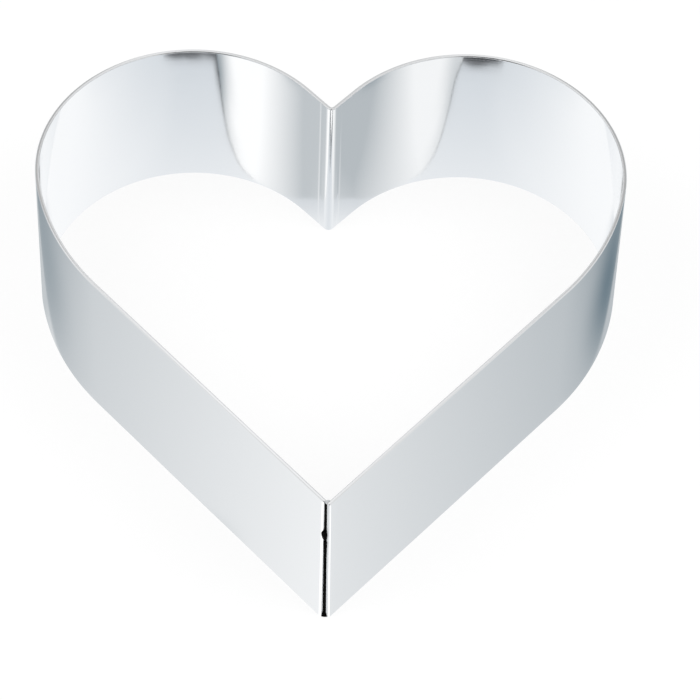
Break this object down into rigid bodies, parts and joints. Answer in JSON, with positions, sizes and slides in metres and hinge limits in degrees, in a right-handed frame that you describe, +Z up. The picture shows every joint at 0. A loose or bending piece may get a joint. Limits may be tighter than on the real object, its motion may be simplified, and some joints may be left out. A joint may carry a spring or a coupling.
{
  "type": "heart cake ring",
  "caption": "Bottomless heart-shaped cake ring: a polished steel strip bent to a heart, folded at the notch and welded shut at the tip, for baking, setting and cutting cakes.",
  "frame": {"origin": "on the surface that the ring stands on, under the middle of its box", "axes": "+Z up along the wall's height, -Y towards the tip, +Y towards the notch and lobes, +X to the right seen from the tip"},
  "size_m": [0.1546, 0.1498, 0.05],
  "materials": {
    "polished_steel": "bright polished stainless steel",
    "weld_scale": "unground weld under black scale"
  },
  "bodies": {
    "root": {"heart_band": "polished_steel", "seam_foot_tack": "weld_scale", "seam_run_lower": "weld_scale", "seam_tack": "weld_scale", "seam_run_upper": "weld_scale"}
  },
  "joints": []
}
